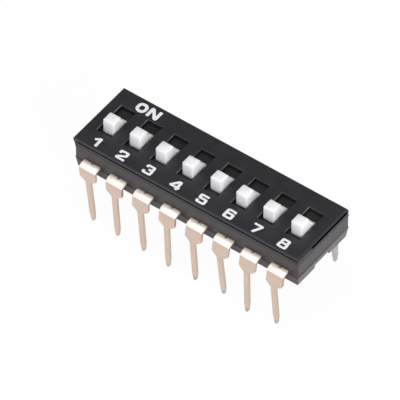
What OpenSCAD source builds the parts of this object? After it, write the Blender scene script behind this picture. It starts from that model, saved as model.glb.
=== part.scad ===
// Eight-pole slide DIP switch with raised knobs and two rows of through-hole legs.
// The origin lies midway between the legs, on the plane that the leg tips stand on.
// +X runs from pole 1 towards pole 8, +Y points to the ON side and +Z points up.
// All sizes are in millimetres, and every knob is drawn in its OFF place.

/* [Grid] */
// Distance between neighbouring poles
pitch = 2.54; // [2.5:0.01:2.7]
// Distance between the middles of the two rows of legs
row_gap = 7.62; // [7.5:0.02:8.2]

/* [Body] */
// Length of wall past the cell of pole 1
end_margin_1 = 0.32; // [0.2:0.02:0.8]
// Length of wall past the cell of pole 8
end_margin_8 = 0.42; // [0.2:0.02:0.8]
// Width of the body over its front and rear walls
body_w = 6.46; // [6.3:0.02:6.7]
// Radius of the body's upright corners
corner_r = 0.05; // [0.04:0.01:0.4]
// Thickness of the front and rear walls
wall_t = 0.6; // [0.5:0.02:0.7]
// Thickness of the partitions between poles
rib_t = 0.7; // [0.6:0.02:0.8]
// Height of the housing, from the base to the cover
housing_h = 1.76; // [1.7:0.02:2.4]
// Height of the base's outer band
base_h = 0.96; // [0.7:0.02:1.2]

/* [Cover] */
// Thickness of the cover
cover_t = 0.28; // [0.2:0.02:0.5]
// How far the cover reaches past the body's end walls
cover_over_x = 0.12; // [0:0.01:0.2]
// How far the cover reaches past the front and rear walls
cover_over_y = 0.02; // [0:0.02:0.1]
// How far the cover sits off the body's middle, towards pole 1
cover_shift = 0.1; // [0:0.01:0.12]
// Width of the slope round the cover's top edge
cover_edge_w = 0.08; // [0.05:0.01:0.2]
// Height of the slope round the cover's top edge
cover_edge_h = 0.06; // [0.04:0.01:0.1]
// Width and height of the larger slope at the cover's pole 8 end
end_slope = 0.2; // [0.06:0.01:0.24]
// Thickness of the cover's ends, over the rebates under them
end_lip_t = 0.14; // [0.12:0.01:0.18]
// Thickness of the cover's front and rear edges, over the rebates under them
side_lip_t = 0.2; // [0.12:0.01:0.22]
// Width of the small slope round each slot
slot_edge = 0.05; // [0.02:0.01:0.1]
// Depth of the tabs that pin the cover to the partitions
tab_h = 0.5; // [0.3:0.05:0.8]
// Length of each tab, across the body
tab_l = 0.6; // [0.4:0.05:0.8]
// Thickness of each tab
tab_t = 0.34; // [0.2:0.02:0.38]
// Gap between each tab and the wall beside it
tab_in = 0.1; // [0.05:0.05:0.3]

/* [Seam] */
// Height of the shadow gap under the cover, at the front and rear
seam_h = 0.12; // [0.06:0.01:0.2]
// Height of the shadow gap under the cover's underside, at the ends
end_seam_h = 0.13; // [0.02:0.01:0.25]
// Depth of the shadow gap
seam_d = 0.3; // [0.2:0.05:0.4]
// Thickness of the rim that stands in front of the gap's trench
seam_rim = 0.05; // [0.04:0.01:0.1]
// Depth of the trench behind that rim
trench_h = 0.3; // [0.1:0.05:0.35]
// Length of the closed stretch of seam at the front of each end
seam_land = 1.75; // [0.8:0.05:2.5]
// Height of the band under the cover
band_h = 0.45; // [0.35:0.05:0.6]
// How far the band's foot stands out of the wall
band_out = 0.03; // [0.01:0.01:0.05]
// Height of the upright ridge at the band's foot
ridge_h = 0.06; // [0.02:0.01:0.15]
// How far the band slopes in above that ridge
band_in = 0.07; // [0.02:0.01:0.08]
// Height of the lip along the housing's lower edge
lip_h = 0.14; // [0.06:0.02:0.14]
// Height of the upright foot of that lip
lip_foot = 0.02; // [0.01:0.01:0.05]
// How far the lip stands out of the wall
lip_out = 0.03; // [0.02:0.01:0.08]
// Height of the groove between the housing and the base, at the front and rear
groove_h = 0.12; // [0.04:0.02:0.2]
// Depth of that groove
groove_d = 0.1; // [0.04:0.02:0.2]
// Height of the flared stretch of wall at the top of the pole 1 end
flare_h = 0.85; // [0.5:0.05:1]
// How far that stretch stands out at its top
flare_out = 0.2; // [0.04:0.02:0.24]

/* [Base] */
// How far the base's foot is drawn in at the front and rear
base_taper_w = 0.12; // [0.05:0.01:0.3]
// How far the base's foot is drawn in at the ends
base_taper_end = 0.12; // [0.05:0.01:0.3]
// Height over which the base is drawn in
base_taper_h = 0.9; // [0.3:0.05:0.92]
// Width of the notch under each end
end_notch_w = 1.9; // [1:0.1:3]
// Height of the notch under each end
end_notch_h = 0.4; // [0.2:0.05:0.5]
// Width of the flat rim that the base would sit on
rim_w = 0.9; // [0.6:0.05:1.4]
// Depth of the recess inside that rim
rim_h = 0.15; // [0.05:0.05:0.3]
// Height of the dividers that stand between the front and rear blades
divider_h = 0.2; // [0.1:0.02:0.24]

/* [Knobs] */
// Width of a slot in the cover
slot_w = 1.36; // [1.2:0.02:1.5]
// Distance from the slots' front edge to the body's middle
slot_front = 1.52; // [1.4:0.02:1.7]
// How far the slots sit off the poles' middles, towards pole 1
slot_shift = 0.16; // [0:0.01:0.2]
// Width of a knob
knob_w = 1.02; // [0.8:0.02:1.1]
// Length of a knob where it meets its carrier
knob_l = 1.97; // [1.7:0.01:2.1]
// Length of a knob's flat top
knob_top_l = 0.99; // [0.7:0.01:1.2]
// Height of a knob above the cover
knob_rise = 1.02; // [0.6:0.02:1.5]
// Height of the upright stretch at a knob's rear
knob_drop = 0.33; // [0.1:0.01:0.5]
// How far that upright stretch leans out at its foot
knob_lean = 0.05; // [0:0.01:0.1]
// How far the knobs sit off the poles' middles, towards pole 1
knob_shift = 0.05; // [0:0.01:0.06]
// Gap in the slot before a knob that is OFF
off_gap = 0.45; // [0.2:0.01:0.6]
// Gap in the slot behind a knob that is ON
on_gap = 0.08; // [0.03:0.01:0.2]
// Distance that a knob slides from OFF to ON
travel = 0.68; // [0.6:0.01:0.8]
// Width of the peg under a knob
peg_w = 0.6; // [0.4:0.05:0.8]
// Length of the peg under a knob
peg_l = 1; // [0.6:0.05:1.2]
// Depth of the peg under a knob
peg_h = 0.3; // [0.15:0.05:0.35]
// How far the peg stands forward of the middle of the knob's foot
peg_set = 0.1; // [0:0.05:0.3]

/* [Carriers] */
// Width of a carrier
carrier_w = 1.7; // [1.5:0.02:1.74]
// Thickness of a carrier
carrier_t = 0.45; // [0.4:0.01:0.5]
// Running gap over a carrier
carrier_gap = 0.1; // [0.04:0.01:0.14]
// Gap between a carrier and the wall that stops it
stop_gap = 0.05; // [0.02:0.01:0.1]
// Height of the boss that holds the moving contact
boss_h = 0.25; // [0.15:0.05:0.3]
// Length and width of that boss
boss_w = 0.9; // [0.7:0.05:1]

/* [Terminals] */
// Thickness of the terminals' metal
stock_t = 0.25; // [0.2:0.01:0.3]
// Width of a terminal's shoulder
shoulder_w = 1.5; // [1.2:0.05:1.6]
// Width of a terminal's blade inside the housing
blade_w = 1.2; // [0.8:0.05:1.4]
// Gap between the front and rear blades of a pole
blade_gap = 0.5; // [0.4:0.05:0.6]
// How far the shoulder's full width reaches inside the wall
shoulder_in = 0.2; // [0.1:0.05:0.4]
// Outer radius of the bend from shoulder to leg
bend_r = 0.42; // [0.3:0.01:0.5]
// Height of the slope from the shoulder to the leg
shoulder_slope = 0.4; // [0.2:0.05:0.6]
// Drop from the base's underside to the top of the narrow leg
standoff = 0.42; // [0.3:0.02:0.8]
// Length of the narrow leg
leg_l = 4.28; // [3:0.02:5]
// Width of the narrow leg
leg_w = 0.46; // [0.4:0.01:0.6]
// Length of the leg's tapered tip
tip_l = 0.9; // [0.4:0.05:1.5]
// Width of the leg's tip
tip_w = 0.26; // [0.16:0.01:0.36]
// Width of the round hole at the shoulder's root
root_hole_d = 0.24; // [0.2:0.02:0.5]
// Distance from the start of the bend back to the middle of that hole
root_hole_back = 0.265; // [0.25:0.005:0.3]

/* [Moving contacts] */
// Thickness of a moving contact
spring_t = 0.1; // [0.06:0.01:0.14]
// Width of a moving contact
spring_w = 0.8; // [0.6:0.05:1]
// Length of a moving contact's turned-up toes
toe_l = 0.2; // [0.1:0.02:0.3]
// Height by which those toes turn up
toe_rise = 0.12; // [0.04:0.02:0.16]
// Running gap between a moving contact and the blades
touch_gap = 0.02; // [0.01:0.01:0.04]
// Width of the stake that holds a moving contact
stake_w = 0.3; // [0.2:0.02:0.4]

/* [Hidden] */
$fn = 48;
POLES = 8;
// Clearance of pieces that are pressed together
fit = 0.02;
// Clearance of the metal in the walls' notches
notch_gap = 0.04;
// Distance by which a cut runs past the face that it opens
past = 1;

body_l = POLES * pitch + end_margin_1 + end_margin_8;
body_x = (end_margin_8 - end_margin_1) / 2;
cavity_w = pitch - rib_t;
cavity_l = body_w - 2 * wall_t;

// Heights, counted up from the leg tips
z_base = leg_l + standoff;
z_part = z_base + base_h;
z_blade_top = z_part + stock_t;
z_cover = z_part + housing_h;
z_top = z_cover + cover_t;
z_carrier_top = z_cover - carrier_gap;
z_carrier = z_carrier_top - carrier_t;
z_boss = z_carrier - boss_h;
z_touch = z_blade_top + touch_gap;

// Places across the body, with the knobs OFF
slot_l = off_gap + knob_l + travel + on_gap;
knob_y = off_gap - slot_front;
carrier_l = cavity_l - travel - 2 * stop_gap;
carrier_y = stop_gap - cavity_l / 2;
contact_y = -travel;
leg_out = row_gap / 2 + stock_t / 2;
leg_in = leg_out - stock_t;
blade_end = cavity_l / 2 - shoulder_in;
peg_y = knob_y + (knob_l - peg_l) / 2 - peg_set;
tab_y = cavity_l / 2 - tab_in - tab_l / 2;

// Partitions that hold the cover's tabs, counted from the middle one
TAB_RIBS = [-3, 0, 3];
// How each leg is bent, for poles 1 to 8: its tip's shift along +X, its tip's shift towards the body, and
// how far its top stands away from the body
FRONT_LEAN = [
    [0.32, 0.25, -0.1], [0.24, 0.1, -0.05], [0.22, 0.05, 0.05], [0.18, -0.15, 0.1],
    [0.1, 0, 0.2], [0.15, 0.15, 0.2], [0.12, -0.25, 0.2], [0.09, 0.1, 0.2]];
REAR_LEAN = [
    [0.1, -0.1, 0], [0.15, 0, 0.05], [0.05, -0.15, 0], [0, 0.05, 0.1],
    [0.1, -0.1, 0.05], [0.05, 0, 0.1], [0, -0.15, 0], [-0.05, -0.25, 0]];
// Where each knob is set on its carrier, for poles 1 to 8: its shift along +X and its shift along +Y
KNOB_SET = [
    [0.02, -0.08], [-0.02, -0.04], [-0.05, -0.08], [-0.08, -0.05],
    [0, 0], [-0.08, -0.06], [-0.08, -0.05], [-0.05, 0]];

// Middle of pole k, counted from 1
function pole_x(k) = (k - (POLES + 1) / 2) * pitch;

// Slab with round upright corners, standing on z = 0
module rounded_slab(l, w, h, r) {
    linear_extrude(height = h)
        union() {
            square([l - 2 * r, w], center = true);
            square([l, w - 2 * r], center = true);
            for (x = [-1, 1], y = [-1, 1])
                translate([x * (l / 2 - r), y * (w / 2 - r)]) circle(r);
        }
}

// End view of a slab whose two top corners are cut back
module cut_profile(w, h, cut_w, cut_h) {
    polygon([
        [-w / 2, 0], [w / 2, 0], [w / 2, h - cut_h],
        [w / 2 - cut_w, h], [-w / 2 + cut_w, h], [-w / 2, h - cut_h]]);
}

// Slab whose four top edges are cut back to a slope, by cut.x at the ends and cut.y along the sides
module cut_slab(l, w, h, cut, cut_h) {
    intersection() {
        rotate([90, 0, 0]) linear_extrude(height = w, center = true) cut_profile(l, h, cut.x, cut_h);
        rotate([90, 0, 90]) linear_extrude(height = l, center = true) cut_profile(w, h, cut.y, cut_h);
    }
}

// Box centred on x and y and standing on z = 0
module standing_box(size) {
    translate([-size.x / 2, -size.y / 2, 0]) cube(size);
}

// Solid with its side view drawn in y and z, and its width along X
module side_extrude(w) {
    rotate([90, 0, 90]) linear_extrude(height = w, center = true) children();
}

// Strip of metal, seen edge on, that follows a list of points
module strip(points, t) {
    for (i = [1 : len(points) - 1]) {
        step = points[i] - points[i - 1];
        translate(points[i - 1]) rotate(atan2(step.y, step.x))
            translate([0, -t / 2]) square([norm(step), t]);
        translate(points[i]) circle(t / 2);
    }
}

// Slot through the cover, with a small slope round its mouth
module slot_cut() {
    mouth = [slot_w + 2 * slot_edge, slot_l + 2 * slot_edge];
    translate([0, slot_l / 2 - slot_front, 0]) {
        translate([0, 0, z_cover - past]) standing_box([slot_w, slot_l, cover_t + 2 * past]);
        translate([0, 0, z_top + past]) mirror([0, 0, 1])
            cut_slab(mouth.x, mouth.y, past + slot_edge, [slot_edge, slot_edge], slot_edge);
    }
}

module top_cover() {
    l = body_l + 2 * cover_over_x;
    w = body_w + 2 * cover_over_y;
    color("#2b2b2f") union() {
        difference() {
            translate([body_x - cover_shift, 0, z_cover]) intersection() {
                cut_slab(l, w, cover_t, [cover_edge_w, cover_edge_w], cover_edge_h);
                rounded_slab(l, w, cover_t, corner_r);
            }
            for (k = [1 : POLES]) translate([pole_x(k) - slot_shift, 0, 0]) slot_cut();
            end_seam(seam_d, z_cover - past, past + cover_t - end_lip_t);
            side_seam(seam_d, z_cover - past, past + cover_t - side_lip_t);
            translate([body_x - cover_shift + l / 2, 0, z_top]) rotate([90, 0, 0])
                linear_extrude(height = 2 * w, center = true) polygon([
                    [-end_slope, 0], [0, -end_slope], [past, -end_slope], [past, past], [-end_slope, past]]);
        }
        for (rib = TAB_RIBS, side = [-1, 1])
            translate([rib * pitch, side * tab_y, z_cover - tab_h]) standing_box([tab_t, tab_l, tab_h]);
    }
}

// Cut along the open stretch of seam at both ends, from a depth inside the wall's face, z up to z + h
module end_seam(depth, z, h, reach = past) {
    land = seam_land - body_w / 2;
    for (side = [-1, 1])
        translate([body_x + side * (body_l / 2 - depth + reach / 2), 0, z])
            translate([-reach / 2, land, 0]) cube([reach, body_w / 2 - land - 2 * seam_rim, h]);
}

// Cut along the seam at the front and rear, in the same way
module side_seam(depth, z, h, reach = past) {
    for (side = [-1, 1])
        translate([body_x, side * (body_w / 2 - depth + reach / 2), z])
            standing_box([body_l - 4 * seam_rim, reach, h]);
}

// Shadow gap round the housing's top edge, open to the outside, with a trench behind its rim
module seam_cut() {
    side_seam(seam_d, z_cover - seam_h, seam_h + past);
    end_seam(seam_d, z_cover - end_seam_h, end_seam_h + past);
    side_seam(seam_d, z_cover - seam_h - trench_h, trench_h + past, seam_d - seam_rim);
    end_seam(seam_d, z_cover - end_seam_h - trench_h, trench_h + past, seam_d - seam_rim);
}

// Slab round the housing that stands out of its walls: an upright foot, and a slope in above it
module sloped_band(out, foot, slope_in, h) {
    l = body_l + 2 * out;
    w = body_w + 2 * out;
    intersection() {
        cut_slab(l, w, h, [slope_in, slope_in], h - foot);
        rounded_slab(l, w, h, corner_r);
    }
}

module housing() {
    notch = [shoulder_w + 2 * notch_gap, body_w + 2 * past, z_blade_top + notch_gap - z_part + past];
    color("#3b393c") difference() {
        translate([body_x, 0, z_part]) union() {
            rounded_slab(body_l, body_w, housing_h - band_h, corner_r);
            sloped_band(lip_out, lip_foot, lip_out, lip_h);
            translate([0, 0, housing_h - band_h]) sloped_band(band_out, ridge_h, band_in, band_h);
            translate([-body_l / 2, 0, housing_h]) rotate([90, 0, 0])
                linear_extrude(height = body_w - 2 * corner_r, center = true)
                    polygon([[0, 0], [-flare_out, 0], [0, -flare_h]]);
        }
        for (k = [1 : POLES]) translate([pole_x(k), 0, z_part - past]) {
            standing_box([cavity_w, cavity_l, housing_h + 2 * past]);
            standing_box(notch);
        }
        for (rib = TAB_RIBS, side = [-1, 1])
            translate([rib * pitch, side * tab_y, z_cover - tab_h - fit])
                standing_box([tab_t + 2 * fit, tab_l + 2 * fit, tab_h + past]);
        seam_cut();
    }
}

module base() {
    divider = [cavity_w - 2 * fit, blade_gap - 2 * notch_gap, divider_h];
    color("#4a4a48") difference() {
        union() {
            translate([body_x, 0, z_part]) mirror([0, 0, 1]) intersection() {
                cut_slab(body_l, body_w, base_h, [base_taper_end, base_taper_w], base_taper_h);
                rounded_slab(body_l, body_w, base_h, corner_r);
            }
            for (k = [1 : POLES]) translate([pole_x(k), 0, z_part]) standing_box(divider);
        }
        for (side = [-1, 1])
            translate([body_x, side * body_w / 2, z_part - groove_h])
                standing_box([body_l - 4 * seam_rim, 2 * groove_d, groove_h + past]);
        translate([body_x, 0, z_base - past]) {
            standing_box([body_l - 2 * rim_w, body_w - 2 * rim_w, past + rim_h]);
            for (side = [-1, 1])
                translate([side * body_l / 2, 0, 0])
                    standing_box([2 * rim_w, end_notch_w, past + end_notch_h]);
        }
    }
}

module knob(k) {
    knob_h = z_top + knob_rise - z_carrier_top;
    set = KNOB_SET[k - 1];
    color("#f2f2f3") translate([pole_x(k) - knob_shift + set.x, set.y, z_carrier_top]) union() {
        translate([0, knob_y, 0]) side_extrude(knob_w) polygon([
            [0, 0], [knob_l, 0], [knob_top_l + knob_lean, knob_h - knob_drop],
            [knob_top_l, knob_h], [0, knob_h]]);
        translate([0, peg_y + peg_l / 2, -peg_h]) standing_box([peg_w, peg_l, peg_h]);
    }
}

module carrier(k) {
    set = KNOB_SET[k - 1];
    color("#1f1f22") translate([pole_x(k) - knob_shift, 0, 0]) {
        difference() {
            translate([0, carrier_y + carrier_l / 2, z_carrier])
                standing_box([carrier_w, carrier_l, carrier_t]);
            translate([set.x, set.y + peg_y + peg_l / 2, z_carrier_top - peg_h - fit])
                standing_box([peg_w + 2 * fit, peg_l + 2 * fit, peg_h + fit + past]);
        }
        translate([0, contact_y, z_boss]) standing_box([boss_w, boss_w, boss_h]);
        translate([0, contact_y, z_boss - spring_t]) standing_box([stake_w, stake_w, spring_t]);
    }
}

// Moving contact: a web under the boss and two arms that reach down to the blades
module contact(k) {
    web = boss_w / 2;
    arm = travel;
    z_web = z_boss - spring_t / 2;
    z_arm = z_touch + spring_t / 2;
    color("#c9a15a") translate([pole_x(k) - knob_shift, contact_y, 0]) difference() {
        side_extrude(spring_w) union() {
            strip([[0, z_web], [web, z_web], [arm, z_arm], [arm + toe_l, z_arm + toe_rise]], spring_t);
            strip([[0, z_web], [-web, z_web], [-arm, z_arm], [-arm - toe_l, z_arm + toe_rise]], spring_t);
        }
        translate([0, 0, z_web - past / 2]) standing_box([stake_w + 2 * fit, stake_w + 2 * fit, past]);
    }
}

// Front view of a leg, in x and z, from the bend down to a tip that leans by skew
module leg_outline(skew) {
    z_bend = z_blade_top - bend_r;
    shoulder = shoulder_w / 2;
    half = leg_w / 2;
    tip_r = tip_w / 2;
    at_taper = skew * (leg_l - tip_l) / leg_l;
    at_tip = skew * (leg_l - tip_r) / leg_l;
    polygon([
        [shoulder, z_bend], [shoulder, leg_l + shoulder_slope], [half, leg_l],
        [at_taper + half, tip_l], [at_tip + tip_r, tip_r], [at_tip - tip_r, tip_r],
        [at_taper - half, tip_l], [-half, leg_l],
        [-shoulder, leg_l + shoulder_slope], [-shoulder, z_bend]]);
    translate([at_tip, tip_r]) circle(tip_r);
}

// Side view of a leg, in y and z, whose tip stands inwards by toe_in and whose top stands outwards by splay
module leg_side(toe_in, splay) {
    z_bend = z_blade_top - bend_r;
    polygon([
        [leg_in, z_bend], [leg_in + splay, leg_l], [leg_in - toe_in, 0],
        [leg_out - toe_in, 0], [leg_out + splay, leg_l], [leg_out, z_bend]]);
}

// Terminal of the rear row: blade, shoulder, bend and leg from one strip of metal
module rear_terminal(lean) {
    bend_y = leg_out - bend_r;
    union() {
        translate([0, 0, z_part]) linear_extrude(height = stock_t) difference() {
            union() {
                translate([-blade_w / 2, blade_gap / 2]) square([blade_w, blade_end - blade_gap / 2]);
                translate([-shoulder_w / 2, blade_end]) square([shoulder_w, bend_y - blade_end]);
            }
            translate([0, bend_y - root_hole_back]) circle(root_hole_d / 2);
        }
        translate([0, bend_y, z_blade_top - bend_r]) side_extrude(shoulder_w) intersection() {
            difference() {
                circle(bend_r);
                circle(bend_r - stock_t);
            }
            square(bend_r);
        }
        intersection() {
            side_extrude(2 * shoulder_w) leg_side(lean.y, lean.z);
            rotate([90, 0, 0]) linear_extrude(height = 4 * row_gap, center = true) leg_outline(lean.x);
        }
    }
}

module terminal_rear(k) {
    color("#d8bfae") translate([pole_x(k), 0, 0]) rear_terminal(REAR_LEAN[k - 1]);
}

module terminal_front(k) {
    color("#d8bfae") translate([pole_x(k), 0, 0]) mirror([0, 1, 0]) rear_terminal(FRONT_LEAN[k - 1]);
}

top_cover();
housing();
base();
for (k = [1 : POLES]) {
    knob(k);
    carrier(k);
    contact(k);
    terminal_front(k);
    terminal_rear(k);
}
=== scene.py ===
"""Finishes, soft edges, markings and studio of an eight-pole slide DIP switch, laid out as an add-on."""

import math

import bmesh
import bpy
from bpy.props import FloatProperty, FloatVectorProperty, PointerProperty
from mathutils import Matrix, Vector


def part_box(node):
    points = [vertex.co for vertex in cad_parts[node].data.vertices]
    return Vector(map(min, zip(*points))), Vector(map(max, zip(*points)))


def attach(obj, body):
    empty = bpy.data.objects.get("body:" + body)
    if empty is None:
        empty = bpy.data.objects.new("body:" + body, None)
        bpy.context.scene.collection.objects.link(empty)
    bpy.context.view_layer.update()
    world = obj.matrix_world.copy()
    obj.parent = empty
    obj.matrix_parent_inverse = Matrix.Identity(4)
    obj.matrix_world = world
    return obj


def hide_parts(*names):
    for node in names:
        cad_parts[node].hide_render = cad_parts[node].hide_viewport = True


bl_info = {
    "name": "DIP switch looks",
    "version": (1, 0, 0),
    "blender": (4, 5, 0),
    "location": "3D View > Sidebar > DIP Switch",
    "description": "Finishes, edges, markings and studio of an eight-pole slide DIP switch",
    "category": "Object",
}

MM = 0.001
POLES = range(1, 9)

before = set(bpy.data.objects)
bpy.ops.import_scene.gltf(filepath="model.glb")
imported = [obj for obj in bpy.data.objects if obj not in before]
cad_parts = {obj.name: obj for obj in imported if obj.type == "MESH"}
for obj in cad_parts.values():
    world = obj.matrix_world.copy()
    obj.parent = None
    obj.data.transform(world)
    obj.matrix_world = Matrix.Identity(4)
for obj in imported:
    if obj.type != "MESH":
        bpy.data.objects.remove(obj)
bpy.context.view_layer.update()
COVER_LOW, COVER_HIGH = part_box("top_cover")
BASE_LOW, BASE_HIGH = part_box("base")
TERMINAL_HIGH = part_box("terminal_rear_1")[1]
# Heights where the terminals' bends start and where their narrow legs stop, which lie this far under the
# terminals' tops and under the base
BEND_DROP = 0.0003
LEG_DROP = 0.00042
BEND_Z = TERMINAL_HIGH.z - BEND_DROP
LEG_Z = BASE_LOW.z - LEG_DROP
# Distance from the middle to the wall that the terminals come out of
ROOT_Y = BASE_HIGH.y
# Length at each end of the cover that holds no slot
END_ZONE = 0.0005

# How far the plating is worn off the shoulders' cut edges, by pole
WORN_CHEEKS = {2: 1, 4: 0.6, 5: 0.5, 8: 0.3}
# How far under and over a bend's start its painted highlight comes in, and how metallic the plating stays
# under that painted highlight
HIGHLIGHT_BELOW = 0.00002
HIGHLIGHT_ABOVE = 0.00005
HIGHLIGHT_METALLIC = 0.25
# How far the painted shade and painted reflection of the dark wall reach along the shoulders from the wall
SHADE_REACH = 0.0003
# Heights up to which a tip is at its greyest, and from which it isn't grey
TIP_FULL = 0.0001
TIP_END = 0.00055
# The cut edges' wear starts and is in full at the first two distances over the narrow leg, and it fades out
# over the last one under the bend
WEAR_START = 0.0001
WEAR_FULL = 0.0004
WEAR_FADE = 0.0004
# How much of that wear is left between the plating's clouds
LEAST_WEAR = 0.5
# How much glossier and how much duller the plating's streaks make it
GLOSSY_STREAK = -0.05
DULL_STREAK = 0.07
# How bright the contacts' duller streaks are against their clean metal
DULL_SPRING = 0.8

# Least share of a face's direction that lies along an axis, for each kind of face that has its own finish or
# its own painted light
SLOT_EDGE_UP = 0.5
SLOT_EDGE_SIDE = 0.5
END_FACE = 0.9
CUT_FACE = 0.35
INNER_FACE = 0.7
# A slot's sloped edge faces up by less than this, and the cover's top by more
TOP_FACE = 0.9

# Pieces are shaped in millimetres, so that small edges stay well above the tolerances of the mesh operations
MERGE_GAP = 0.0001
FLAT_ANGLE = math.radians(0.5)
SHARP_ANGLE = math.radians(28)
SMOOTH_ANGLE = math.radians(40)
# Faces across a rounded edge: of most pieces, of the knobs, and in the hollows at the knobs' feet
EDGE_STEPS = 2
KNOB_STEPS = 4
HOLLOW_STEPS = 6


# Settings

def length(name, default, text):
    """Length in metres, given here in millimetres."""
    return FloatProperty(
        name=name, description=text, default=default * MM, min=0, precision=6, subtype="DISTANCE",
        unit="LENGTH")


def colour(name, default, text):
    """Plain colour, in linear light."""
    return FloatVectorProperty(
        name=name, description=text, default=default, size=3, min=0, max=1, subtype="COLOR")


def share(name, default, text):
    """Amount from 0 to 1."""
    return FloatProperty(name=name, description=text, default=default, min=0, max=1, subtype="FACTOR")


def angle(name, degrees, text):
    """Angle, given here in degrees."""
    return FloatProperty(
        name=name, description=text, default=math.radians(degrees), subtype="ANGLE", unit="ROTATION")


class CoverSettings(bpy.types.PropertyGroup):
    edge: length("Edge radius", 0.03, "Radius of the cover's moulded edges")
    tone: colour("Colour", (0.0122, 0.0122, 0.0150), "Colour of the cover's plastic")
    second_tone: colour("Second colour", (0.0165, 0.0165, 0.0212), "Colour of the cover's paler patches")
    # The slot edges' paler colour is a painted highlight on the sloped slot edges that face pole 8, where the
    # light from that side catches them
    edge_tone: colour("Edge colour", (0.16, 0.16, 0.17), "Colour of the slots' burnished edges")
    roughness: share("Roughness", 0.42, "Roughness of the cover's plastic")


class HousingSettings(bpy.types.PropertyGroup):
    edge: length("Edge radius", 0.02, "Radius of the housing's moulded edges")
    tone: colour("Colour", (0.0198, 0.0163, 0.0202), "Colour of the housing's plastic")
    second_tone: colour("Second colour", (0.0298, 0.0232, 0.0285), "Colour of the housing's paler patches")
    roughness: share("Roughness", 0.34, "Roughness of the housing's plastic")


class BaseSettings(bpy.types.PropertyGroup):
    edge: length("Edge radius", 0.03, "Radius of the base's moulded edges")
    tone: colour("Colour", (0.037, 0.032, 0.030), "Colour of the base's plastic")
    second_tone: colour("Second colour", (0.052, 0.046, 0.043), "Colour of the base's paler patches")
    # The end colours are painted light: both end faces are made paler, as if lit from below by the bright
    # floor
    end_tone: colour("End colour", (0.069, 0.067, 0.067), "Colour of the base's scuffed ends")
    end_second_tone: colour("Second end colour", (0.091, 0.088, 0.088), "Colour of the ends' paler patches")
    roughness: share("Roughness", 0.4, "Roughness of the base's plastic")


class KnobSettings(bpy.types.PropertyGroup):
    edge: length("Edge radius", 0.1, "Radius of a knob's edges")
    hollow: length("Hollow radius", 0.22, "Radius of the hollow at the foot of a knob's upright rear")
    tone: colour("Colour", (0.79, 0.79, 0.81), "Colour of the knobs' plastic")
    second_tone: colour("Second colour", (0.75, 0.75, 0.77), "Colour of the knobs' greyer patches")
    roughness: share("Roughness", 0.62, "Roughness of the knobs' plastic")
    gloss: share("Gloss", 0.1, "Strength of the shine on the knobs' plastic")
    depth: length("Light depth", 0.8, "How deep light soaks into the knobs' plastic")


class CarrierSettings(bpy.types.PropertyGroup):
    edge: length("Edge radius", 0.02, "Radius of a carrier's edges")
    # The carriers' colour is partly their own black and partly painted shade, darker than the other black
    # parts for the deep slots they are seen through
    tone: colour("Colour", (0.006, 0.006, 0.006), "Colour of the carriers' plastic")
    second_tone: colour("Second colour", (0.010, 0.010, 0.011), "Colour of the carriers' paler patches")
    roughness: share("Roughness", 0.45, "Roughness of the carriers' plastic")


class MetalSettings(bpy.types.PropertyGroup):
    edge: length("Edge radius", 0.02, "Radius of the edges of the stamped strip")
    plating: colour("Plating", (0.70, 0.56, 0.475), "Colour of the terminals' plating")
    tarnish: colour("Tarnish", (0.64, 0.50, 0.42), "Colour of the plating's duller streaks")
    # The bends' paler colour is a painted highlight where they catch the light
    burnish: colour("Burnish", (0.95, 0.88, 0.81), "Colour of the plating where the bends are burnished")
    tip: colour("Tip", (0.36, 0.36, 0.38), "Colour of the terminals' tips")
    inner: colour("Inner face", (0.62, 0.58, 0.56), "Colour of the terminals' faces that look at each other")
    # The plating's colour next to the wall is painted shade, with the dark wall's painted reflection
    root: colour("Root", (0.44, 0.35, 0.27), "Colour of the plating where a shoulder leaves the wall")
    cut: colour("Cut edge", (0.60, 0.46, 0.38), "Colour of the plating on the cut edges")
    bare: colour("Bare edge", (0.34, 0.14, 0.07), "Colour of the bare metal on the shoulders' cut edges")
    spring: colour("Spring", (0.74, 0.50, 0.22), "Colour of the moving contacts")
    roughness: share("Roughness", 0.5, "Roughness of the plating")


class MarkingSettings(bpy.types.PropertyGroup):
    tone: colour("Colour", (0.79, 0.79, 0.83), "Colour of the ink")
    second_tone: colour("Second colour", (0.72, 0.72, 0.76), "Colour of the ink's thinner patches")
    roughness: share("Roughness", 0.5, "Roughness of the ink")
    rise: length("Rise", 0.012, "How far the ink stands out of the cover")
    digit_h: length("Digit height", 0.97, "Height of a numeral")
    digit_w: length("Digit width", 0.87, "Width of a numeral")
    digit_y: length("Digit margin", 0.26, "Distance from the cover's front edge to the numerals")
    digit_shift: length("Digit shift", 0.145, "How far the numerals sit off the sliders, towards pole 1")
    word_h: length("Word height", 1.04, "Height of the word's letters")
    word_w: length("Letter width", 1.04, "Width of one of the word's letters")
    word_gap: length("Letter gap", 0.08, "Gap between the word's letters")
    word_x: length("Word place", 1.9, "Distance from the cover's pole 1 end to the word")
    word_y: length("Word margin", 0.36, "Distance from the cover's rear edge to the word")
    stem: length("Stem", 0.24, "Width of the numerals' upright strokes")
    bar: length("Bar", 0.2, "Height of the numerals' level strokes")
    turn: share("Turn", 0.25, "Radius of the strokes' turns along their middles, as a share of their width")
    word_stroke: length("Word stroke", 0.275, "Width of the word's strokes")
    word_turn: FloatProperty(
        name="Round letter's turn", default=1, min=0,
        description="Radius of the round letter's turns, as a share of its strokes' width")


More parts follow.
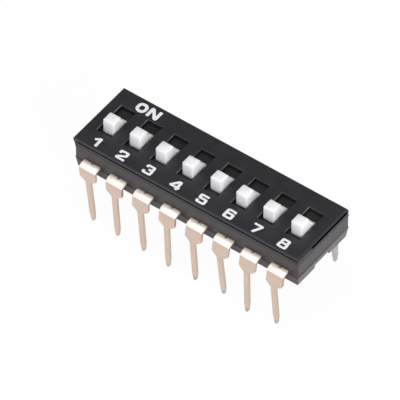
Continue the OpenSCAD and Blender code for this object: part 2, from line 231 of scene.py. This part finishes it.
class StageSettings(bpy.types.PropertyGroup):
    floor: colour("Floor", (0.9, 0.9, 0.9), "Colour of the floor")
    clear: share("Floor glow", 0.96, "How much of the floor shows as plain white instead of taking shade")
    sky: share("Sky", 0.15, "Brightness of the light from all round")
    gloss_sky: share("Sky in gloss", 0.2, "Brightness of the sky that glossy surfaces show")
    azimuth: angle("Azimuth", 36.5, "Camera's angle round the switch")
    elevation: angle("Elevation", 47.65, "Camera's angle above the horizon")
    distance: length("Distance", 600, "Distance from the camera to its aim")
    aim: FloatVectorProperty(
        name="Aim", description="Point that the camera looks at", default=(0.000217, -0.001694, 0.006341),
        size=3, precision=6, subtype="TRANSLATION", unit="LENGTH")
    lens: FloatProperty(name="Lens", description="Focal length in millimetres", default=710, min=1)


class SwitchSettings(bpy.types.PropertyGroup):
    cover: PointerProperty(type=CoverSettings)
    housing: PointerProperty(type=HousingSettings)
    base: PointerProperty(type=BaseSettings)
    knob: PointerProperty(type=KnobSettings)
    carrier: PointerProperty(type=CarrierSettings)
    metal: PointerProperty(type=MetalSettings)
    marking: PointerProperty(type=MarkingSettings)
    stage: PointerProperty(type=StageSettings)


# Shader tools

def add_node(tree, kind, inputs=(), **settings):
    """New node with its settings, whose inputs take either a value or another node's output."""
    made = tree.nodes.new(kind)
    for name, value in settings.items():
        setattr(made, name, value)
    for name, value in dict(inputs).items():
        if isinstance(value, bpy.types.NodeSocket):
            tree.links.new(value, made.inputs[name])
        else:
            made.inputs[name].default_value = value
    return made


def new_group(name, takes, gives):
    """New shader node group with its named sockets, and the nodes that stand for its inputs and outputs."""
    tree = bpy.data.node_groups.new(name, "ShaderNodeTree")
    for socket, kind in takes.items():
        tree.interface.new_socket(socket, in_out="INPUT", socket_type=kind)
    for socket, kind in gives.items():
        tree.interface.new_socket(socket, in_out="OUTPUT", socket_type=kind)
    return tree, tree.nodes.new("NodeGroupInput").outputs, tree.nodes.new("NodeGroupOutput").inputs


def noise(tree, coords, scale, detail, stretch=(1, 1, 1)):
    """Noise from 0 to 1 over the surface, drawn out along the axes whose stretch is small."""
    placed = add_node(tree, "ShaderNodeMapping", {"Vector": coords, "Scale": stretch}).outputs["Vector"]
    made = add_node(tree, "ShaderNodeTexNoise", {"Vector": placed, "Scale": scale, "Detail": detail})
    return made.outputs["Fac"]


def span(tree, value, low, high, to_low=0, to_high=1):
    """Value spread from one range to another, and held inside it."""
    limits = {"Value": value, "From Min": low, "From Max": high, "To Min": to_low, "To Max": to_high}
    return add_node(tree, "ShaderNodeMapRange", limits).outputs["Result"]


def soft_patches(tree, coords, scale, detail, softness):
    """Cloudy patches from 0 to 1, whose outlines are sharper where their softness is small."""
    return span(tree, noise(tree, coords, scale, detail), 0.5 - softness, 0.5 + softness)


def blend_colour(tree, mask, first, second):
    """Colour between two others, as a mask says."""
    mix = add_node(tree, "ShaderNodeMix", {0: mask, 6: first, 7: second}, data_type="RGBA")
    return mix.outputs[2]


def math_node(tree, operation, first, second):
    """Result of one sum on two values."""
    return add_node(tree, "ShaderNodeMath", {0: first, 1: second}, operation=operation).outputs[0]


def moulded_group():
    """Moulded plastic: cloudy patches of a second colour, fine grain and uneven gloss."""
    tree, takes, gives = new_group(
        "Moulded surface",
        {"Colour": "NodeSocketColor", "Second colour": "NodeSocketColor", "Patch scale": "NodeSocketFloat",
         "Grain scale": "NodeSocketFloat", "Roughness": "NodeSocketFloat", "Uneven gloss": "NodeSocketFloat"},
        {"Colour": "NodeSocketColor", "Roughness": "NodeSocketFloat", "Height": "NodeSocketFloat"})
    coords = add_node(tree, "ShaderNodeTexCoord").outputs["Object"]
    patches = soft_patches(tree, coords, takes["Patch scale"], detail=4, softness=0.2)
    grain = noise(tree, coords, takes["Grain scale"], detail=3)
    uneven = math_node(tree, "MULTIPLY", math_node(tree, "SUBTRACT", patches, 0.5), takes["Uneven gloss"])
    tree.links.new(blend_colour(tree, patches, takes["Colour"], takes["Second colour"]), gives["Colour"])
    tree.links.new(math_node(tree, "ADD", takes["Roughness"], uneven), gives["Roughness"])
    tree.links.new(grain, gives["Height"])
    return tree


def strip_group():
    """Rolled and plated strip: streaks and duller clouds, other tones on tips and cuts, a painted highlight
    on the bends and painted shade where the shoulders leave the wall.
    """
    tree, takes, gives = new_group(
        "Plated strip",
        {"Plating": "NodeSocketColor", "Tarnish": "NodeSocketColor", "Burnish": "NodeSocketColor",
         "Root": "NodeSocketColor", "Tip": "NodeSocketColor", "Bare": "NodeSocketColor",
         "Streak scale": "NodeSocketFloat", "Roughness": "NodeSocketFloat"},
        {"Colour": "NodeSocketColor", "Roughness": "NodeSocketFloat", "Metallic": "NodeSocketFloat",
         "Height": "NodeSocketFloat"})
    place = add_node(tree, "ShaderNodeTexCoord").outputs["Object"]
    streaks = noise(tree, place, takes["Streak scale"], detail=3, stretch=(1, 0.04, 0.04))
    clouds = soft_patches(tree, place, scale=900, detail=2, softness=0.15)
    along = add_node(tree, "ShaderNodeSeparateXYZ", {"Vector": place}).outputs
    out = math_node(tree, "ABSOLUTE", along["Y"], 0)
    # Painted highlight: the bends take a paler, less metallic colour
    bends = span(tree, along["Z"], BEND_Z - HIGHLIGHT_BELOW, BEND_Z + HIGHLIGHT_ABOVE)
    # Painted shade and painted reflection of the dark wall: the plating next to the wall takes a darker
    # colour
    roots = math_node(tree, "MULTIPLY", span(tree, out, ROOT_Y + SHADE_REACH, ROOT_Y), bends)
    dipped = soft_patches(tree, place, scale=180, detail=1, softness=0.1)
    tips = math_node(tree, "MULTIPLY", span(tree, along["Z"], TIP_END, TIP_FULL), dipped)
    over_leg = span(tree, along["Z"], LEG_Z + WEAR_START, LEG_Z + WEAR_FULL)
    under_bend = span(tree, along["Z"], BEND_Z, BEND_Z - WEAR_FADE)
    cheeks = math_node(tree, "MULTIPLY", over_leg, under_bend)
    worn = math_node(tree, "MULTIPLY", cheeks, span(tree, clouds, 0, 1, LEAST_WEAR, 1))
    dull = math_node(tree, "MULTIPLY", clouds, streaks)
    tone = blend_colour(tree, dull, takes["Plating"], takes["Tarnish"])
    for mask, part in ((bends, "Burnish"), (roots, "Root"), (tips, "Tip"), (worn, "Bare")):
        tone = blend_colour(tree, mask, tone, takes[part])
    tree.links.new(tone, gives["Colour"])
    grain = span(tree, streaks, 0.3, 0.7, GLOSSY_STREAK, DULL_STREAK)
    tree.links.new(math_node(tree, "ADD", takes["Roughness"], grain), gives["Roughness"])
    # The painted highlight also makes the bends less metallic
    tree.links.new(span(tree, bends, 0, 1, 1, HIGHLIGHT_METALLIC), gives["Metallic"])
    tree.links.new(streaks, gives["Height"])
    return tree


def new_material(name):
    """Empty material with its Principled shader joined to its output."""
    material = bpy.data.materials.new(name)
    material.use_nodes = True
    material.node_tree.nodes.clear()
    shader = add_node(material.node_tree, "ShaderNodeBsdfPrincipled")
    add_node(material.node_tree, "ShaderNodeOutputMaterial", {"Surface": shader.outputs["BSDF"]})
    return material, material.node_tree, shader


def opaque(rgb):
    """Colour with its fourth number."""
    return (*rgb, 1)


def group_node(tree, name, make):
    """Node of a shader group, which is made when it is first asked for."""
    return add_node(tree, "ShaderNodeGroup", node_tree=bpy.data.node_groups.get(name) or make())


def feed(tree, shader, group, depth):
    """Joins a group's colour, roughness and height to a shader."""
    height = group.outputs["Height"]
    bump = add_node(tree, "ShaderNodeBump", {"Height": height, "Distance": depth, "Strength": 1})
    tree.links.new(group.outputs["Colour"], shader.inputs["Base Color"])
    tree.links.new(group.outputs["Roughness"], shader.inputs["Roughness"])
    tree.links.new(bump.outputs["Normal"], shader.inputs["Normal"])


def plastic(name, tone, second_tone, roughness, patch=900, grain=26000, depth=0.0000012, uneven=0.06):
    """Moulded plastic of two near colours."""
    material, tree, shader = new_material(name)
    group = group_node(tree, "Moulded surface", moulded_group)
    group.inputs["Colour"].default_value = opaque(tone)
    group.inputs["Second colour"].default_value = opaque(second_tone)
    group.inputs["Patch scale"].default_value = patch
    group.inputs["Grain scale"].default_value = grain
    group.inputs["Roughness"].default_value = roughness
    group.inputs["Uneven gloss"].default_value = uneven
    feed(tree, shader, group, depth)
    return material


def plated(name, roughness, streak=60000, depth=0.0000008, **tones):
    """Rolled and plated strip, with its colours for each part of a terminal or contact."""
    material, tree, shader = new_material(name)
    group = group_node(tree, "Plated strip", strip_group)
    for part, tone in tones.items():
        group.inputs[part.capitalize()].default_value = opaque(tone)
    group.inputs["Streak scale"].default_value = streak
    group.inputs["Roughness"].default_value = roughness
    feed(tree, shader, group, depth)
    tree.links.new(group.outputs["Metallic"], shader.inputs["Metallic"])
    return material


# Shaping tools

def open_copy(node):
    """Copy of a frame node in millimetres, with its seams merged and its flat faces made whole."""
    shape = bmesh.new()
    shape.from_mesh(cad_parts[node].data)
    bmesh.ops.scale(shape, vec=(1 / MM,) * 3, verts=shape.verts)
    bmesh.ops.remove_doubles(shape, verts=shape.verts, dist=MERGE_GAP)
    bmesh.ops.dissolve_limit(
        shape, angle_limit=FLAT_ANGLE, use_dissolve_boundaries=False, verts=shape.verts, edges=shape.edges,
        delimit=set())
    return shape


def sharp_edges(shape):
    """Edges where two faces meet at a clear angle."""
    return [edge for edge in shape.edges if edge.is_manifold and edge.calc_face_angle() > SHARP_ANGLE]


def round_edges(shape, edges, radius, segments=EDGE_STEPS):
    """Rounds edges to a radius in metres."""
    bmesh.ops.bevel(
        shape, geom=edges, offset=radius / MM, offset_type="OFFSET", segments=segments, profile=0.5,
        affect="EDGES", clamp_overlap=True, material=-1)


def close_shape(shape, name, materials, body, replaced=()):
    """Turns a shape in millimetres into a finished piece that rides on a body."""
    bmesh.ops.scale(shape, vec=(MM,) * 3, verts=shape.verts)
    mesh = bpy.data.meshes.new(name)
    shape.to_mesh(mesh)
    shape.free()
    for material in materials:
        mesh.materials.append(material)
    mesh.shade_smooth()
    mesh.set_sharp_from_angle(angle=SMOOTH_ANGLE)
    piece = bpy.data.objects.new(name, mesh)
    bpy.context.scene.collection.objects.link(piece)
    even = piece.modifiers.new("Even shading", "WEIGHTED_NORMAL")
    even.keep_sharp = True
    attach(piece, body)
    for node in replaced:
        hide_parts(node)
    return piece


# Pieces

class DIP_OT_cover(bpy.types.Operator):
    """Gives the top cover its soft edges, its black plastic and a painted highlight on the slots' sloped
    edges that face pole 8
    """
    bl_idname = "dip.cover"
    bl_label = "Top cover"

    def execute(self, context):
        finish = context.scene.dip_switch.cover
        black = plastic("Cover black", finish.tone, finish.second_tone, finish.roughness)
        highlit = plastic("Cover slot edge", finish.edge_tone, finish.tone, finish.roughness, patch=1500)
        shape = open_copy("top_cover")
        for side in shape.faces:
            # Sloped slot edges that face pole 8 take the paler colour, as a painted highlight
            by_slot = abs(side.calc_center_median().x * MM) < COVER_HIGH.x - END_ZONE
            slopes = SLOT_EDGE_UP < side.normal.z < TOP_FACE and side.normal.x > SLOT_EDGE_SIDE
            side.material_index = int(by_slot and slopes)
        round_edges(shape, sharp_edges(shape), finish.edge)
        close_shape(shape, "cover_plate", [black, highlit], "body", ["top_cover"])
        return {"FINISHED"}


class DIP_OT_housing(bpy.types.Operator):
    """Gives the housing its soft edges and its black plastic"""
    bl_idname = "dip.housing"
    bl_label = "Housing"

    def execute(self, context):
        finish = context.scene.dip_switch.housing
        shape = open_copy("housing")
        round_edges(shape, sharp_edges(shape), finish.edge)
        black = plastic("Housing black", finish.tone, finish.second_tone, finish.roughness)
        close_shape(shape, "housing_walls", [black], "body", ["housing"])
        return {"FINISHED"}


class DIP_OT_base(bpy.types.Operator):
    """Gives the base its soft edges, its dark grey plastic and painted light that makes its ends paler"""
    bl_idname = "dip.base"
    bl_label = "Base"

    def execute(self, context):
        finish = context.scene.dip_switch.base
        grey = plastic("Base dark grey", finish.tone, finish.second_tone, finish.roughness)
        lit = plastic(
            "Base scuffed end", finish.end_tone, finish.end_second_tone, finish.roughness, patch=2500)
        shape = open_copy("base")
        for side in shape.faces:
            # End faces take the paler colours, as painted light
            side.material_index = int(abs(side.normal.x) > END_FACE)
        round_edges(shape, sharp_edges(shape), finish.edge)
        close_shape(shape, "base_block", [grey, lit], "body", ["base"])
        return {"FINISHED"}


class DIP_OT_knobs(bpy.types.Operator):
    """Makes the eight white knobs, with rounded edges and a hollow under their upright rear"""
    bl_idname = "dip.knobs"
    bl_label = "Knobs"

    def execute(self, context):
        finish = context.scene.dip_switch.knob
        white = plastic(
            "Knob white", finish.tone, finish.second_tone, finish.roughness, patch=700, grain=18000,
            depth=0.000001, uneven=0.04)
        shader = white.node_tree.nodes["Principled BSDF"]
        shader.inputs["Specular IOR Level"].default_value = finish.gloss
        shader.inputs["Subsurface Weight"].default_value = 1
        shader.inputs["Subsurface Radius"].default_value = (1, 1, 1)
        shader.inputs["Subsurface Scale"].default_value = finish.depth
        for pole in POLES:
            node = f"knob_{pole}"
            shape = open_copy(node)
            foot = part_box(f"carrier_{pole}")[1].z / MM
            inner = [
                edge for edge in sharp_edges(shape)
                if not edge.is_convex and edge.verts[0].co.z > foot + MERGE_GAP]
            round_edges(shape, inner, finish.hollow, HOLLOW_STEPS)
            outer = [
                edge for edge in sharp_edges(shape)
                if edge.is_convex and min(vert.co.z for vert in edge.verts) > foot - MERGE_GAP]
            round_edges(shape, outer, finish.edge, KNOB_STEPS)
            close_shape(shape, f"slide_knob_{pole}", [white], f"slider_{pole}", [node])
        return {"FINISHED"}


class DIP_OT_carriers(bpy.types.Operator):
    """Gives the carriers under the knobs their soft edges and black plastic, made extra dark as painted shade
    in the slots
    """
    bl_idname = "dip.carriers"
    bl_label = "Carriers"

    def execute(self, context):
        finish = context.scene.dip_switch.carrier
        black = plastic("Carrier black", finish.tone, finish.second_tone, finish.roughness)
        for pole in POLES:
            node = f"carrier_{pole}"
            shape = open_copy(node)
            round_edges(shape, sharp_edges(shape), finish.edge)
            close_shape(shape, f"slide_carrier_{pole}", [black], f"slider_{pole}", [node])
        return {"FINISHED"}


class DIP_OT_contacts(bpy.types.Operator):
    """Gives the moving contacts their sprung brass"""
    bl_idname = "dip.contacts"
    bl_label = "Moving contacts"

    def execute(self, context):
        metal = context.scene.dip_switch.metal
        dull = [part * DULL_SPRING for part in metal.spring]
        brass = plated(
            "Contact brass", metal.roughness, plating=metal.spring, tarnish=dull, burnish=metal.spring,
            root=dull, tip=dull, bare=dull)
        for pole in POLES:
            node = f"contact_{pole}"
            shape = open_copy(node)
            round_edges(shape, sharp_edges(shape), metal.edge / 2)
            close_shape(shape, f"moving_contact_{pole}", [brass], f"slider_{pole}", [node])
        return {"FINISHED"}


class DIP_OT_terminals(bpy.types.Operator):
    """Gives the terminals their plating, and bare metal where the strip was cut"""
    bl_idname = "dip.terminals"
    bl_label = "Terminals"

    def execute(self, context):
        metal = context.scene.dip_switch.metal
        face = plated(
            "Terminal plating", metal.roughness, plating=metal.plating, tarnish=metal.tarnish,
            burnish=metal.burnish, root=metal.root, tip=metal.tip, bare=metal.plating)
        cuts = {
            worn: plated(
                "Terminal cut edge", metal.roughness, plating=metal.cut, tarnish=metal.tarnish,
                burnish=metal.burnish, root=metal.root, tip=metal.tip,
                bare=Vector(metal.cut).lerp(Vector(metal.bare), worn))
            for worn in {0, *WORN_CHEEKS.values()}}
        inner = plated(
            "Terminal inner face", metal.roughness, plating=metal.inner, tarnish=metal.tip,
            burnish=metal.burnish, root=metal.root, tip=metal.tip, bare=metal.inner)
        for row, inwards in (("front", 1), ("rear", -1)):
            for pole in POLES:
                node = f"terminal_{row}_{pole}"
                shape = open_copy(node)
                for side in shape.faces:
                    cut_edge = abs(side.normal.x) > CUT_FACE
                    inner_face = side.normal.y * inwards > INNER_FACE or (cut_edge and row == "rear")
                    side.material_index = 2 if inner_face else int(cut_edge)
                round_edges(shape, sharp_edges(shape), metal.edge)
                cut = cuts[WORN_CHEEKS.get(pole, 0)]
                close_shape(shape, f"plated_{row}_{pole}", [face, cut, inner], "body", [node])
        return {"FINISHED"}


# Markings

# How far a handle reaches from the start of a turn towards its corner, for a round turn
ROUND_HANDLE = 0.55
# Half of a pen's width, in units of that width
HALF_PEN = 0.5
# Corners of each mark's pen strokes, in a box one unit wide and high. A stroke that ends where it starts is
# closed
MARKS = {
    "1": [[(0.25, 0.64), (0.96, 1), (0.96, -0.13)]],
    "2": [[(0, 0.66), (0.03, 1), (1, 1), (1, 0.58), (0.05, 0.2), (0, 0), (1.2, 0)]],
    "3": [[(0, 0.72), (0.04, 1), (0.95, 1), (0.95, 0.6), (0.87, 0.53), (1, 0.46), (1, 0), (0, 0),
           (0, 0.27)],
          [(0.42, 0.53), (0.87, 0.53)]],
    "4": [[(0.92, -0.1), (0.92, 1), (0.68, 1), (-0.08, 0.22), (1.27, 0.22)]],
    "5": [[(1.07, 1), (0, 1), (0, 0.54), (0.92, 0.58), (1, 0.5), (1, 0), (0, 0), (0, 0.27)]],
    "6": [[(0.97, 0.8), (0.95, 1), (0.1, 1), (0, 0.9), (0, 0), (1, 0), (1, 0.56), (0.1, 0.56)]],
    "7": [[(-0.2, 1), (0.95, 1), (0.25, -0.08)]],
    "8": [[(0, 0), (0, 0.45), (0.07, 0.53), (0.07, 1), (0.93, 1), (0.93, 0.53), (1, 0.45), (1, 0), (0, 0)],
          [(0.07, 0.53), (0.93, 0.53)]],
    "O": [[(0.04, 0), (0.04, 0.95), (0.92, 0.95), (0.92, 0), (0.04, 0)]],
    "N": [[(0, -0.14), (0, 1), (0.12, 1), (0.88, 0), (1, 0), (1, 1.14)]],
}


def add_stroke(strokes, corners, turn):
    """Adds a pen stroke that takes a round turn at each of its corners."""
    closed = corners[0] == corners[-1]
    ring = corners[:-1] if closed else corners
    places = []
    for count, corner in enumerate(ring):
        if not closed and corner in (ring[0], ring[-1]):
            places.append((corner, corner, "VECTOR", "VECTOR"))
            continue
        following = ring[(count + 1) % len(ring)]
        sides = ((ring[count - 1], ("VECTOR", "FREE")), (following, ("FREE", "VECTOR")))
        for other, kinds in sides:
            leg = other - corner
            end = corner + leg.normalized() * min(turn, leg.length / 2)
            places.append((end, end.lerp(corner, ROUND_HANDLE), *kinds))
    line = strokes.splines.new("BEZIER")
    line.bezier_points.add(len(places) - 1)
    line.use_cyclic_u = closed
    for point, (end, handle, before, after) in zip(line.bezier_points, places):
        point.handle_left_type, point.handle_right_type = before, after
        point.co, point.handle_left, point.handle_right = end, handle, handle


def draw_mark(mark, size, pen, turn):
    """Mesh of one mark in units of its pen's width and height, with its lower left corner at the origin."""
    strokes = bpy.data.curves.new(f"mark_{mark}", "CURVE")
    strokes.dimensions = "3D"
    strokes.bevel_depth = HALF_PEN
    strokes.bevel_resolution = 3
    strokes.resolution_u = 6
    strokes.use_fill_caps = True
    for stroke in MARKS[mark]:
        corners = [
            Vector((u * (size.x / pen.x - 1) + HALF_PEN, v * (size.y / pen.y - 1) + HALF_PEN, 0))
            for u, v in stroke]
        add_stroke(strokes, corners, turn)
    holder = bpy.data.objects.new(strokes.name, strokes)
    bpy.context.scene.collection.objects.link(holder)
    mesh = bpy.data.meshes.new_from_object(holder.evaluated_get(bpy.context.evaluated_depsgraph_get()))
    bpy.data.objects.remove(holder)
    bpy.data.curves.remove(strokes)
    return mesh


class DIP_OT_markings(bpy.types.Operator):
    """Prints the poles' numerals and the word ON on the cover"""
    bl_idname = "dip.markings"
    bl_label = "Markings"

    def execute(self, context):
        marking = context.scene.dip_switch.marking
        digit = Vector((marking.digit_w, marking.digit_h))
        places = []
        for pole in POLES:
            low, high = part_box(f"carrier_{pole}")
            middle = (low.x + high.x) / 2 - marking.digit_shift
            corner = (middle - marking.digit_w / 2, COVER_LOW.y + marking.digit_y)
            places.append((str(pole), corner, digit, Vector((marking.stem, marking.bar)), marking.turn))
        for count, letter in enumerate("ON"):
            left = COVER_LOW.x + marking.word_x + count * (marking.word_w + marking.word_gap)
            corner = (left, COVER_HIGH.y - marking.word_y - marking.word_h)
            turn = marking.word_turn if letter == "O" else marking.turn
            size = Vector((marking.word_w, marking.word_h))
            places.append((letter, corner, size, Vector((marking.word_stroke, marking.word_stroke)), turn))
        ink = plastic("Marking ink", marking.tone, marking.second_tone, marking.roughness, patch=4000)
        shape = bmesh.new()
        for mark, corner, size, pen, turn in places:
            mesh = draw_mark(mark, size, pen, turn)
            flat = Matrix.Diagonal((*pen, 2 * marking.rise, 1))
            mesh.transform(Matrix.Translation((*corner, COVER_HIGH.z)) @ flat)
            shape.from_mesh(mesh)
            bpy.data.meshes.remove(mesh)
        bmesh.ops.scale(shape, vec=(1 / MM,) * 3, verts=shape.verts)
        close_shape(shape, "cover_markings", [ink], "body")
        return {"FINISHED"}


# Stage

FLOOR_RADIUS = 1.5
FLOOR_SIDES = 96
LAMP_DISTANCE = 0.3
LAMP_SIZE = 0.16
# Name, azimuth and elevation in degrees, and power in watts of each soft light. Azimuth 0 stands in front of
# the switch, and 90 at its pole 8 end
LAMPS = (
    ("Top softbox", 0, 88, 0.38),
    ("Right softbox", 68, 25, 0.57),
    ("Camera softbox", 40, 25, 0.16),
    ("Left softbox", -60, 50, 0.17),
    ("Front softbox", -15, 25, 0.135),
    ("Rear softbox", 110, 25, 0.1),
)
SENSOR_WIDTH = 36
NEAREST = 0.01
FARTHEST = 10


def add_aimed(holder, azimuth, elevation, distance, aim):
    """Adds a lamp or camera at a distance from its aim, turned to look there. The angles are in radians."""
    level = math.cos(elevation)
    away = Vector((math.sin(azimuth) * level, -math.cos(azimuth) * level, math.sin(elevation)))
    holder.location = aim + away * distance
    holder.rotation_euler = away.to_track_quat("Z", "Y").to_euler()
    bpy.context.scene.collection.objects.link(holder)


def add_softbox(name, azimuth, elevation, power, aim):
    """Square soft light that faces the switch, with its angles in degrees."""
    lamp = bpy.data.lights.new(name, "AREA")
    lamp.energy = power
    lamp.size = LAMP_SIZE
    holder = bpy.data.objects.new(name, lamp)
    add_aimed(holder, math.radians(azimuth), math.radians(elevation), LAMP_DISTANCE, aim)


def shown_rays(tree):
    """Two values, which are 1 for rays from the camera, and 1 for rays by way of gloss or glass."""
    path = add_node(tree, "ShaderNodeLightPath").outputs
    gloss = math_node(tree, "MAXIMUM", path["Is Glossy Ray"], path["Is Transmission Ray"])
    return path["Is Camera Ray"], gloss


def floor_material(stage):
    """White that mostly glows where it is seen, so that it takes only a little shade."""
    material, tree, shader = new_material("Floor white")
    shader.inputs["Base Color"].default_value = opaque(stage.floor)
    shader.inputs["Roughness"].default_value = 1
    shader.inputs["Specular IOR Level"].default_value = 0
    seen, gloss = shown_rays(tree)
    glow = add_node(tree, "ShaderNodeEmission", {"Strength": 1})
    amount = math_node(tree, "MULTIPLY", math_node(tree, "MAXIMUM", seen, gloss), stage.clear)
    mixed = add_node(tree, "ShaderNodeMixShader", {0: amount, 1: shader.outputs[0], 2: glow.outputs[0]})
    tree.links.new(mixed.outputs[0], tree.nodes["Material Output"].inputs["Surface"])
    return material


def lay_floor(stage):
    """Round floor under the switch."""
    sheet = bmesh.new()
    bmesh.ops.create_circle(sheet, cap_ends=True, segments=FLOOR_SIDES, radius=FLOOR_RADIUS)
    mesh = bpy.data.meshes.new("floor")
    sheet.to_mesh(mesh)
    sheet.free()
    floor = bpy.data.objects.new("floor", mesh)
    bpy.context.scene.collection.objects.link(floor)
    mesh.materials.append(floor_material(stage))


def surround(stage):
    """White surroundings, which give less light than they show."""
    world = bpy.data.worlds.new("White surroundings")
    world.use_nodes = True
    bpy.context.scene.world = world
    tree = world.node_tree
    tree.nodes.clear()
    seen, gloss = shown_rays(tree)
    strength = math_node(tree, "MAXIMUM", seen, span(tree, gloss, 0, 1, stage.sky, stage.gloss_sky))
    backdrop = add_node(tree, "ShaderNodeBackground", {"Strength": strength})
    backdrop.inputs["Color"].default_value = (1, 1, 1, 1)
    add_node(tree, "ShaderNodeOutputWorld", {"Surface": backdrop.outputs[0]})


def add_camera(stage):
    """Camera that looks down at the switch from the front right."""
    view = bpy.data.cameras.new("Camera")
    view.lens = stage.lens
    view.sensor_width = SENSOR_WIDTH
    view.clip_start = NEAREST
    view.clip_end = FARTHEST
    camera = bpy.data.objects.new("Camera", view)
    add_aimed(camera, stage.azimuth, stage.elevation, stage.distance, Vector(stage.aim))
    bpy.context.scene.camera = camera


class DIP_OT_stage(bpy.types.Operator):
    """Sets up the pale floor, the white surroundings, the soft lights and the camera"""
    bl_idname = "dip.stage"
    bl_label = "Stage"

    def execute(self, context):
        stage = context.scene.dip_switch.stage
        lay_floor(stage)
        surround(stage)
        for name, azimuth, elevation, power in LAMPS:
            add_softbox(name, azimuth, elevation, power, Vector(stage.aim))
        context.scene.view_settings.view_transform = "Standard"
        add_camera(stage)
        return {"FINISHED"}


class DIP_PT_panel(bpy.types.Panel):
    """Lists the pieces and their settings"""
    bl_idname = "DIP_PT_panel"
    bl_label = "DIP Switch"
    bl_space_type = "VIEW_3D"
    bl_region_type = "UI"
    bl_category = "DIP Switch"

    def draw(self, context):
        settings = context.scene.dip_switch
        for group, operator in zip(SETTING_NAMES, OPERATORS):
            column = self.layout.box().column()
            column.operator(operator.bl_idname)
            held = getattr(settings, group)
            for name in held.bl_rna.properties.keys():
                if name not in ("rna_type", "name"):
                    column.prop(held, name)


SETTINGS = (
    CoverSettings, HousingSettings, BaseSettings, KnobSettings, CarrierSettings, MetalSettings,
    MarkingSettings, StageSettings, SwitchSettings)
OPERATORS = (
    DIP_OT_cover, DIP_OT_housing, DIP_OT_base, DIP_OT_knobs, DIP_OT_carriers, DIP_OT_contacts,
    DIP_OT_terminals, DIP_OT_markings, DIP_OT_stage)
SETTING_NAMES = ("cover", "housing", "base", "knob", "carrier", "metal", "metal", "marking", "stage")
CLASSES = (*SETTINGS, *OPERATORS, DIP_PT_panel)


def register():
    for kind in CLASSES:
        bpy.utils.register_class(kind)
    bpy.types.Scene.dip_switch = PointerProperty(type=SwitchSettings)


def unregister():
    del bpy.types.Scene.dip_switch
    for kind in reversed(CLASSES):
        bpy.utils.unregister_class(kind)


def main():
    register()
    for name in (
            "cover", "housing", "base", "knobs", "carriers", "contacts", "terminals", "markings", "stage"):
        getattr(bpy.ops.dip, name)()


if __name__ == "__main__":
    main()
